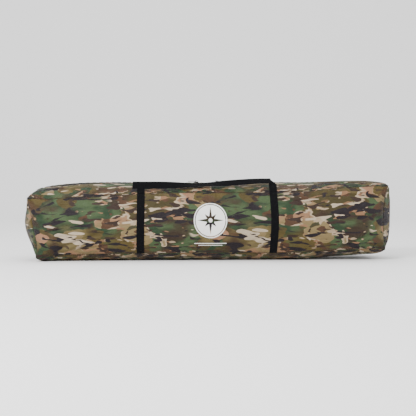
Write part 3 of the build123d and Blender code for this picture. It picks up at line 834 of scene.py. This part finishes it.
ys = spaced(0.0, LY, STEP, *fine_edge, LY - 0.0015, LY - 0.003, LY - 0.006, LY - 0.01, V_MID - MOUTH, V_MID + MOUTH, V_MID - MOUTH - 0.008, V_MID + MOUTH + 0.008)
o, _, _ = cloth_piece("left_yoke_cloth", top, spaced(0.0, U_LO, STEP, *fine_edge), ys, MAT["camo_busy"], TOP_PRINT, lift=valley)
done(o, "bag", "left_top_yoke")
o, _, _ = cloth_piece("right_yoke_cloth", top, spaced(U_HI, LX, STEP, *[LX - e for e in fine_edge]), ys, MAT["camo_busy"], TOP_PRINT, lift=valley)
done(o, "bag", "right_top_yoke")

uf = spaced(U_LO, U_HI, STEP)
for side, lo, hi in (("front", 0.0, V_MID - MOUTH), ("back", V_MID + MOUTH, LY)):
    marks = [m for m in (*fine_edge, *[LY - e for e in fine_edge], V_MID - MOUTH - 0.008, V_MID + MOUTH + 0.008, V_MID - MOUTH - 0.0012, V_MID + MOUTH + 0.0012)]
    o, U, V = cloth_piece(f"{side}_flap_cloth", top, uf, spaced(lo, hi, STEP, *marks), MAT["camo_busy"], TOP_PRINT, lift=valley, thickness=0.0012)
    bend(o)
    done(o, None, f"top_{side}_flap")


def between_sliders(U):
    """Half the eye-shaped gap that the coils leave between two sliders that meet head to head."""
    x = np.abs(U - LX / 2)
    return 0.0030 * (1 - smooth(x, 0.004, 0.030))


PITCH = 0.0021
for side, sg in (("front", -1), ("back", 1)):
    # tape: from under the hem to the coil
    ut = spaced(U_LO + 0.001, U_HI - 0.001, 0.004)
    vt = np.array([0.021, 0.017, 0.0135, 0.0115, 0.009, 0.006, 0.0036, 0.0024])
    U, D = np.meshgrid(ut, vt, indexing="ij")
    V = V_MID + sg * (D + between_sliders(U))
    n = top.normal(U, V, 0.004)
    sink = top.base(U, V) + n * (valley(U, V) * 0 - 0.0022 * np.exp(-((D / 0.02) ** 2)) - 0.0016)[..., None]
    o = make_mesh(f"zipper_tape_{side}_woven", sink, grid_faces(len(ut), len(vt), flip=sg > 0), np.stack([D, U], -1))
    o.data.materials.append(MAT["tape"])
    m = o.modifiers.new("thickness", "SOLIDIFY")
    m.thickness, m.offset = 0.0006, 0
    bend(o)
    done(o, None, f"zipper_tape_{side}")
    # coil: one loop of filament each pitch, flattened, leaning over the tape's edge
    loops = int((2 * ZIP_HALF - 0.006) / PITCH)
    seg = 10
    phase = (0.5 if sg > 0 else 0.0) * PITCH
    t = np.arange(loops * seg)
    uc = U_LO + 0.003 + phase + t / seg * PITCH
    ang = t % seg * 2 * math.pi / seg
    dist = 0.0016 + 0.0021 * np.cos(ang) + between_sliders(uc)
    height = 0.00125 * np.sin(ang) - 0.0012
    uc = uc + 0.0004 * np.cos(ang)
    nn = top.normal(uc, np.full(len(uc), V_MID), 0.006)
    core = top.base(uc, V_MID + sg * dist) + nn * (height - 0.0022 + 0.0004)[:, None]
    k = 5
    tangent = np.gradient(core, axis=0)
    tangent /= np.linalg.norm(tangent, axis=1, keepdims=True)
    a = np.cross(tangent, [1.0, 0.0, 0.0])
    a /= np.maximum(np.linalg.norm(a, axis=1, keepdims=True), 1e-9)
    b = np.cross(tangent, a)
    ph = np.arange(k) * 2 * math.pi / k
    ring = core[:, None] + 0.00042 * (a[:, None] * np.cos(ph)[None, :, None] + b[:, None] * np.sin(ph)[None, :, None])
    o = make_mesh(f"zipper_coil_{side}_filament", ring, grid_faces(len(core), k, wrap_v=True))
    o.data.materials.append(MAT["coil"])
    bend(o)
    done(o, None, f"zipper_coil_{side}")
    # two rows of topstitching through hem and tape
    parts = [stitch_line(top, np.linspace(U_LO + 0.004, U_HI - 0.004, 400), np.full(400, V_MID + sg * (MOUTH + e)), 0.0042, 0.0) for e in (0.0022, 0.0072)]
    c, d, n, u, v = [np.concatenate(q) for q in zip(*parts)]
    c = c + n * (valley(u, v) + 0.0002)[:, None]
    o = threads(f"hem_stitching_{side}", c, d, n, 0.0032, 0.00028, MAT["thread"])
    bend(o)

# cloth tab over each end of the zipper
for name, u0, u1 in (("left", U_LO - 0.024, U_LO - 0.001), ("right", U_HI + 0.001, U_HI + 0.024)):
    uu, dd = spaced(u0, u1, 0.002), spaced(-0.014, 0.014, 0.002)
    U, D = np.meshgrid(uu, dd, indexing="ij")
    V = V_MID + D
    edge = np.minimum(np.minimum(U - u0, u1 - U), 0.014 - np.abs(D))
    lift = valley(U, V) + 0.0016 * smooth(edge, -0.0008, 0.0018)
    o = make_mesh(f"{name}_zipper_tab_tape", top.at(U, V, lift), grid_faces(len(uu), len(dd)), np.stack([D, U], -1))
    o.data.materials.append(MAT["binding"])
    done(o, "bag", f"{name}_zipper_tab")
    box_u = np.array([u0 + 0.003, u1 - 0.003, u1 - 0.003, u0 + 0.003, u0 + 0.003])
    box_v = V_MID + np.array([-0.011, -0.011, 0.011, 0.011, -0.011])
    parts = []
    for q in range(4):
        parts.append(stitch_line(top, np.linspace(box_u[q], box_u[q + 1], 12), np.linspace(box_v[q], box_v[q + 1], 12), 0.0030, 0.0))
    c, d, n, u, v = [np.concatenate(q) for q in zip(*parts)]
    c = c + n * (valley(u, v) + 0.0017)[:, None]
    o = threads(f"{name}_tab_stitching", c, d, n, 0.0023, 0.00025, MAT["thread"])
    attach(o, "bag")

# ------------------------------------------------------------------ straps, bar tacks
strap_top = {}
for panel, sheet in (("front", front), ("back", back)):
    tack_parts = []
    for side, xt in (("left", lambda z: STRAP_L + 0.0 * z - 0.002 * (1 - smooth(z, 0.03, 0.2))), ("right", lambda z: STRAP_R + 0.002 * np.sin(math.pi * smooth(z, 0.05, 0.22)))):
        vs = spaced(0.0, LZ, 0.004)
        path = straight_u(sheet, xt, vs)
        o, _, _ = laid_strap(f"{panel}_strap_{side}_webbing", sheet, path, vs, WEB, 0.0002, 0.0015, MAT["webbing"])
        done(o, "bag", f"{panel}_strap_{side}")
        strap_top[panel, side] = float(path(np.array(LZ)))
        rows = []
        for e in (-0.0098, 0.0098):
            vv = np.linspace(0.004, LZ - 0.004, 90)
            rows.append(stitch_line(sheet, path(vv) + e, vv, 0.0036, 0.0))
        c, d, n, u, v = [np.concatenate(q) for q in zip(*rows)]
        c = c - n * sheet.relief(u, v)[:, None] + n * (np.maximum(sheet.relief(u, v), -0.0006) * 0.3 + 0.0017)[:, None]
        o = threads(f"{panel}_strap_{side}_stitching", c, d, n, 0.0027, 0.00026, MAT["thread"])
        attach(o, "bag")
        for v0 in (0.008, LZ - 0.012):
            for row in range(4):
                uu = np.linspace(path(np.array(v0)) - WEB / 2 + 0.002, path(np.array(v0)) + WEB / 2 - 0.002, 20)
                tack_parts.append(stitch_line(sheet, uu, np.full(20, v0 + 0.0009 * row), 0.0021, 0.0))
    c, d, n, u, v = [np.concatenate(q) for q in zip(*tack_parts)]
    c = c - n * sheet.relief(u, v)[:, None] + n * (np.maximum(sheet.relief(u, v), -0.0006) * 0.3 + 0.0018)[:, None]
    o = threads(f"{panel}_bar_tack_thread", c, d, n, 0.0021, 0.0004, MAT["thread"])
    done(o, "bag", f"{panel}_bar_tacks")

# ------------------------------------------------------------------ inner seam binding
for name, sheet, v0 in (("front_upper", front, LZ - 0.009), ("front_lower", front, 0.009), ("back_upper", back, LZ - 0.009), ("back_lower", back, 0.009)):
    vs = spaced(0.014, LX - 0.014, 0.008)
    o, _, _ = laid_strap(f"binding_{name}_tape", sheet, lambda V, v0=v0: np.full_like(V, v0), vs, 0.010, -0.0042, 0.0012, MAT["binding"], across_v=True)
    done(o, "bag", f"binding_{name}")
for name, sheet in (("left", left), ("right", right)):
    # a ring of tape round the inside of the end panel
    m = 0.007
    loop = []
    for a, b in (((m, m), (LY - m, m)), ((LY - m, m), (LY - m, LZ - m)), ((LY - m, LZ - m), (m, LZ - m)), ((m, LZ - m), (m, m))):
        loop.append(np.linspace(a, b, 26)[:-1])
    loop = np.concatenate(loop)
    centre = np.array([LY / 2, LZ / 2])
    inward = centre - loop
    inward /= np.linalg.norm(inward, axis=1, keepdims=True)
    w = np.linspace(-0.0045, 0.0065, 7)
    UV = loop[:, None] + inward[:, None] * w[None, :, None]
    n = sheet.normal(UV[..., 0], UV[..., 1], 0.004)
    p = sheet.base(UV[..., 0], UV[..., 1])
    up, low = p - n * 0.0030, p - n * 0.0042
    ring = np.concatenate([up, low[:, ::-1]], 1)
    run = np.concatenate([[0], np.cumsum(np.linalg.norm(np.diff(loop, axis=0), axis=1))])
    uvs = np.stack(np.meshgrid(run, np.concatenate([w, w[::-1]]), indexing="ij")[::-1], -1)
    o = make_mesh(f"binding_{name}_end_tape", ring, grid_faces(len(loop), 14, wrap_u=True, wrap_v=True, flip=sheet.sign < 0), uvs)
    o.data.materials.append(MAT["binding"])
    done(o, "bag", f"binding_{name}_end")

# ------------------------------------------------------------------ carrying handles
def band(name_parts, stations, width, thick, run0=0.0):
    """Webbing through stations of (lower edge, direction to the upper edge, width), smoothed by a spline."""
    E = np.array([s[0] for s in stations], float)
    W = np.array([s[1] for s in stations], float)
    W /= np.linalg.norm(W, axis=1, keepdims=True)
    s = np.concatenate([[0], np.cumsum(np.linalg.norm(np.diff(E, axis=0), axis=1))])
    t = np.arange(0, s[-1], 0.004)
    t = np.append(t, s[-1])

    def spline(y):
        out = np.empty((len(t), y.shape[1]))
        m = np.gradient(y, s, axis=0)
        i = np.clip(np.searchsorted(s, t, side="right") - 1, 0, len(s) - 2)
        h = (s[i + 1] - s[i])[:, None]
        f = (t - s[i])[:, None] / h
        return (2 * f**3 - 3 * f**2 + 1) * y[i] + (f**3 - 2 * f**2 + f) * h * m[i] + (-2 * f**3 + 3 * f**2) * y[i + 1] + (f**3 - f**2) * h * m[i + 1]

    e, w = spline(E), spline(W)
    w /= np.linalg.norm(w, axis=1, keepdims=True)
    tan = np.gradient(e, axis=0)
    n = np.cross(tan, w)
    n /= np.linalg.norm(n, axis=1, keepdims=True)
    return e, w, n, t + run0


def band_mesh(e, w, n, run, width, thick, ends=(0.0, 0.0)):
    """Vertices, faces and uv of a strap. ends slants each end: how far along the strap the upper edge is ahead of the lower."""
    col = (PROFILE + 1) / 2
    tan = np.gradient(e, axis=0)
    tan /= np.linalg.norm(tan, axis=1, keepdims=True)
    ln = run[-1] - run[0]
    f = (run - run[0]) / ln
    fade0, fade1 = np.clip(1 - f * ln / 0.045, 0, 1), np.clip(1 - (1 - f) * ln / 0.045, 0, 1)
    slant = ends[0] * fade0 + ends[1] * fade1
    p = e[:, None] + w[:, None] * (col * width)[None, :, None] + tan[:, None] * (slant[:, None] * (col - 0.0)[None])[..., None]
    half = thick / 2 * EDGE_ROUND
    up, low = p + n[:, None] * half[None, :, None], p - n[:, None] * half[None, :, None]
    ring = np.concatenate([up, low[:, ::-1]], 1)
    k = len(PROFILE)
    wu = np.concatenate([PROFILE * width / 2, PROFILE[::-1] * width / 2])
    uv = np.stack(np.meshgrid(run, wu, indexing="ij")[::-1], -1)
    faces = grid_faces(len(e), 2 * k, wrap_v=True)
    caps = []
    for s, turn in ((0, 1), (len(e) - 1, 0)):
        for j in range(k - 1):
            q = [s * 2 * k + j, s * 2 * k + j + 1, s * 2 * k + 2 * k - 2 - j, s * 2 * k + 2 * k - 1 - j]
            caps.append(q if turn else q[::-1])
    return ring.reshape(-1, 3), np.concatenate([faces, np.array(caps)]), uv.reshape(-1, 2)


def joined(name, parts, material):
    verts, faces, uvs, base = [], [], [], 0
    for v, f, uv in parts:
        verts.append(v)
        faces.append(f + base)
        uvs.append(uv)
        base += len(v)
    o = make_mesh(name, np.concatenate(verts), np.concatenate(faces), np.concatenate(uvs))
    o.data.materials.append(material)
    return o


def seam_point(panel, side):
    """Where a strap's middle meets the top seam."""
    sheet = front if panel == "front" else back
    return sheet.base(np.array([strap_top[panel, side]]), np.array([LZ]))[0]


def riser(foot, head, sheet_normal_y, lean0):
    """A riser from the seam to the band: stations across x, running up."""
    foot, head = np.array(foot), np.array(head)
    st = []
    for f in np.linspace(0, 1, 6):
        c = foot + (head - foot) * f
        c = c + np.array([0, sheet_normal_y * 0.0012 * math.sin(math.pi * f), 0.0])
        st.append((c - np.array([WEB / 2, 0, 0]), (1, 0, 0)))
    return st


# front handle, as it stands: left end folded over at a right angle, the grip leaning back, the right end held higher
fl, fr = seam_point("front", "left"), seam_point("front", "right")
print("front strap tops", np.round(fl, 4).tolist(), np.round(fr, 4).tolist())
up_l = np.array([0.0, math.cos(math.radians(52)), math.sin(math.radians(52))])
lift = 0.0022
L0 = fl + np.array([0, -0.0011, 0.0005])
R0 = fr + np.array([0, -0.0011, 0.0005])
band_low = [
    # lower edge of the grip, and the way to its upper edge
    ((L0[0] - 0.0285, -0.0910, 0.2398), (0.0, 0.36, 0.93)),
    ((L0[0] + 0.0130, -0.0905, 0.2398), (0.0, 0.38, 0.92)),
    ((L0[0] + 0.0600, -0.0890, 0.2402), (0.0, 0.42, 0.91)),
    ((L0[0] + 0.1150, -0.0860, 0.2412), (0.0, 0.60, 0.80)),
    ((-0.0550, -0.0820, 0.2445), (0.0, 0.86, 0.50)),
    ((0.0100, -0.0805, 0.2480), (0.0, 0.87, 0.50)),
    ((0.0650, -0.0805, 0.2482), (0.0, 0.68, 0.73)),
    ((0.1250, -0.0810, 0.2525), (0.0, 0.68, 0.73)),
    ((R0[0] - 0.0400, -0.0815, 0.2560), (0.0, 0.74, 0.67)),
    ((R0[0] - 0.0040, -0.0815, 0.2562), (0.0, 0.74, 0.67)),
]
parts = []
e, w, n, run = band("grip", band_low, WEB, 0.0015)
parts.append(band_mesh(e, w, n, run, WEB, 0.0016, ends=(0.002, -0.003)))
for foot, head, cut in ((L0, np.array([L0[0], -0.0840, 0.2590]), 0.0), (R0, np.array([R0[0] - 0.0005, -0.0645, 0.2735]), -0.024)):
    st = riser(foot, head, -1, 0)
    e, w, n, run = band("riser", st, WEB, 0.0015)
    parts.append(band_mesh(e, w, n, run, WEB, 0.0016, ends=(0.0, cut)))
o = joined("front_handle_webbing", parts, MAT["webbing"])
done(o, "handle_front", "front_handle")

# back handle, fallen back over the top
bl, br = seam_point("back", "left"), seam_point("back", "right")


def rest_on_top(x, d, gap):
    """A point over the back half of the top, d metres of cloth in from the back seam."""
    v = np.array([LY - d])
    u = np.array([x + LX / 2])
    for _ in range(4):
        u = u + (x - top.base(u, v)[:, 0])
    return (top.base(u, v) + top.normal(u, v, 0.008) * gap)[0]


def lay_grip(x, gap):
    a, b = rest_on_top(x, 0.0170, gap), rest_on_top(x, 0.0400, gap + 0.0012)
    a[0] = b[0] = x
    return a, b - a


band_low = [lay_grip(x, g) for x, g in ((br[0] + 0.0125, 0.0040), (br[0] - 0.0130, 0.0044), (0.12, 0.0062), (0.04, 0.0075), (-0.05, 0.0070), (-0.13, 0.0058), (bl[0] + 0.0130, 0.0044), (bl[0] - 0.0125, 0.0040))]
parts = []
e, w, n, run = band("grip", band_low, WEB, 0.0015)
parts.append(band_mesh(e, w, n, run, WEB, 0.0016, ends=(-0.004, 0.004)))
for foot in (bl, br):
    st = []
    for d, g in ((0.0, 0.0014), (0.005, 0.0030), (0.011, 0.0030), (0.018, 0.0024), (0.026, 0.0022), (0.034, 0.0022), (0.0405, 0.0024)):
        c = rest_on_top(foot[0], d, g)
        st.append((np.array([foot[0] - WEB / 2, c[1], c[2]]), (1, 0, 0)))
    e, w, n, run = band("riser", st, WEB, 0.0015)
    parts.append(band_mesh(e, w, n, run, WEB, 0.0016))
o = joined("back_handle_webbing", parts, MAT["webbing"])
done(o, "handle_back", "back_handle")

# ------------------------------------------------------------------ printed badge: a ring, a disc with a compass star left open, and two plain rules
def on_front(U, V, lift):
    n = front.normal(U, V, 0.003)
    return front.base(U, V) + n * (front.relief(U, V) + lift)[..., None]


U0 = LX / 2 + 0.006
vs = np.linspace(0, LZ, 200)
V0 = float(np.interp(0.1375, front.base(np.full(200, U0), vs)[:, 2], vs))
phi = np.linspace(0, 2 * math.pi, 361)[:-1]
pieces_2d = []


def polar(r_in, r_out, n):
    t = np.linspace(0, 1, n)[:, None]
    r = r_in[None] * (1 - t) + r_out[None] * t
    pieces_2d.append((np.stack([r * np.sin(phi)[None], r * np.cos(phi)[None]], -1), True))


def star(a):
    """Outline of an eight-point compass star: four long points, four short."""
    a = np.mod(a, math.pi / 2)
    a = np.minimum(a, math.pi / 2 - a)  # 0 at a long point, pi/4 at a short one
    knots_a = np.array([0.0, math.pi / 8, math.pi / 4])
    long_tip, valley_r, short_tip = 0.043, 0.0125, 0.026
    pts = [(long_tip, 0.0), (valley_r, math.pi / 8), (short_tip, math.pi / 4)]
    out = np.empty_like(a)
    for (r0, a0), (r1, a1) in zip(pts, pts[1:]):
        x0, y0, x1, y1 = r0 * math.cos(a0), r0 * math.sin(a0), r1 * math.cos(a1), r1 * math.sin(a1)
        m = (a >= a0) & (a <= a1)
        out[m] = (x0 * y1 - x1 * y0) / ((y1 - y0) * np.cos(a[m]) - (x1 - x0) * np.sin(a[m])) * 1.0
    return out


polar(star(phi), np.full(360, 0.0480), 22)
polar(np.full(360, 0.0508), np.full(360, 0.0540), 4)
polar(np.full(360, 0.0004), np.full(360, 0.0062), 4)
for half, z0, h in ((0.052, -0.0720, 0.0026), (0.039, -0.0785, 0.0018)):
    a, b = np.meshgrid(np.linspace(-half, half, 60), np.linspace(z0 - h / 2, z0 + h / 2, 3), indexing="ij")
    pieces_2d.append((np.stack([a, b], -1), False))
verts, faces, uvs, base = [], [], [], 0
for P2, closed in pieces_2d:
    U, V = U0 + P2[..., 0], V0 + P2[..., 1]
    verts.append(on_front(U, V, np.full(U.shape, 0.00028)).reshape(-1, 3))
    f = grid_faces(P2.shape[0], P2.shape[1], wrap_v=closed, base=base)
    faces.append(f if not closed else f)
    uvs.append(np.stack([U, V], -1).reshape(-1, 2))
    base += len(verts[-1])
o = make_mesh("front_badge_ink", np.concatenate(verts), np.concatenate(faces), np.concatenate(uvs))
o.data.materials.append(MAT["ink"])
done(o, "bag", "front_print")

# ------------------------------------------------------------------ sliders and pulls keep their CAD shape
for n in ("zipper_slider_left", "zipper_slider_right", "zipper_pull_left", "zipper_pull_right"):
    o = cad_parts[n]
    o.data.materials.clear()
    o.data.materials.append(MAT["metal"])
    m = o.modifiers.new("edges", "BEVEL")
    m.width, m.segments, m.limit_method, m.angle_limit = 0.00025, 2, "ANGLE", math.radians(40)

# ------------------------------------------------------------------ stage
bend_r, back_y = 1.5, 2.6
arc = np.linspace(0, math.pi / 2, 25)
path = np.concatenate([[(-30.0, 0.0)], np.stack([back_y + bend_r * np.sin(arc), bend_r * (1 - np.cos(arc))], -1), [(back_y + bend_r, 9.0)]])
verts = [(x, y, z) for x in (-14.0, 14.0) for y, z in path]
floor = make_mesh("floor", verts, grid_faces(2, len(path)))
s = Shader("floor")
floor.data.materials.append(s.finish(Base_Color=(0.93, 0.93, 0.93), Roughness=0.9, Specular_IOR_Level=0.05))
floor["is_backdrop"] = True

world = bpy.data.worlds.new("studio")
bpy.context.scene.world = world
world.use_nodes = True
world.node_tree.nodes["Background"].inputs[0].default_value = (1.0, 1.0, 1.0, 1)
world.node_tree.nodes["Background"].inputs[1].default_value = 1.32


def area(name, loc, size, power, aim=(0, 0, 0.12)):
    d = bpy.data.lights.new(name, "AREA")
    d.shape, d.size, d.energy = "SQUARE", size, power
    o = bpy.data.objects.new(name, d)
    bpy.context.scene.collection.objects.link(o)
    o.location = loc
    o.rotation_euler = (Vector(aim) - Vector(loc)).to_track_quat("-Z", "Y").to_euler()
    o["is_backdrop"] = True


area("key", (-1.7, -2.4, 2.0), 1.2, 125)
area("fill", (2.4, -2.2, 1.3), 1.6, 34)
area("overhead", (0.2, 0.5, 3.0), 2.0, 22)

low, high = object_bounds()
